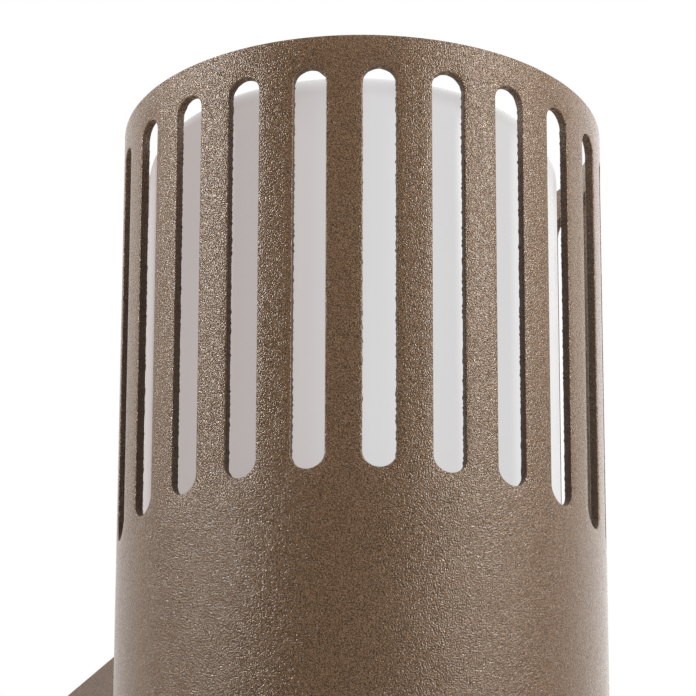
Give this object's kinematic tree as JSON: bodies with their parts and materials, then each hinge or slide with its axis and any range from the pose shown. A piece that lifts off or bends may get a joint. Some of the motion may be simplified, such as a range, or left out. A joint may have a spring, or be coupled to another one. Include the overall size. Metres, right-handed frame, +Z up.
{
  "type": "outdoor wall light",
  "caption": "Outdoor wall light: slotted bronze-brown tube, open at the top, round an opal diffuser over a screw-in bulb, on a hollow box arm with a slotted wall plate.",
  "frame": {"origin": "middle of the wall plate's back face, on the wall: the centre of its four slotted holes", "axes": "+Z up along the tube, +Y into the wall, so the front of the tube faces -Y; +X to the right of someone who looks at the wall"},
  "size_m": [0.11, 0.15, 0.24],
  "materials": {
    "bronze_coat": "fine-grained bronze brown powder coat",
    "bronze_coat_smooth": "smoother bronze brown powder coat on a casting",
    "opal": "opal white, satin",
    "opal_globe": "frosted white",
    "black_rubber": "black rubber",
    "white_plastic": "moulded white plastic",
    "clear_plastic": "natural moulded plastic",
    "zinc": "zinc plated steel",
    "nickel": "nickel plated",
    "black_glass": "black glazed insulator",
    "porcelain": "white glazed porcelain",
    "brass": "brass",
    "brown_wire": "brown insulation",
    "blue_wire": "blue insulation",
    "green_wire": "green insulation"
  },
  "bodies": {
    "fixture": {"shade_tube": "bronze_coat", "bottom_cap": "bronze_coat", "cap_screws": "bronze_coat", "arm_housing": "bronze_coat_smooth", "diffuser_seal": "black_rubber", "carrier_seal": "black_rubber", "saddle_gasket": "black_rubber", "wire_grommet": "black_rubber", "wall_gasket": "black_rubber", "cable_grommet": "black_rubber", "lamp_base": "white_plastic", "terminal_block": "clear_plastic", "lamp_base_screws": "zinc", "lamp_carrier": "zinc", "carrier_screws": "zinc", "mounting_strap": "zinc", "tube_screws": "zinc", "tube_screw_washers": "zinc", "holder_screws": "zinc", "wall_plate": "zinc", "arm_screws": "zinc", "terminal_screws": "zinc", "terminal_fixings": "zinc", "earth_tag": "zinc", "earth_washer": "zinc", "holder_body": "porcelain", "holder_shell": "brass", "holder_contact": "brass", "terminal_clamps": "brass", "earth_stud": "brass", "earth_nut": "brass", "live_wire": "brown_wire", "neutral_wire": "blue_wire", "earth_wire": "green_wire"},
    "diffuser": {"diffuser": "opal"},
    "bulb": {"bulb_contact": "zinc", "bulb_insulator": "black_glass", "bulb_cap": "nickel", "bulb_body": "white_plastic", "bulb_led_board": "white_plastic", "bulb_globe": "opal_globe"}
  },
  "joints": [
    {"name": "diffuser_lift", "type": "slide", "parent": "fixture", "child": "diffuser", "axis": [0, 0, 1], "range_m": [0, 0.115]},
    {"name": "bulb_turn", "type": "hinge", "parent": "fixture", "child": "bulb", "pos_m": [-0.0023, -0.095, 0.05], "axis": [0, 0, 1], "range_deg": [0, 1080]}
  ]
}
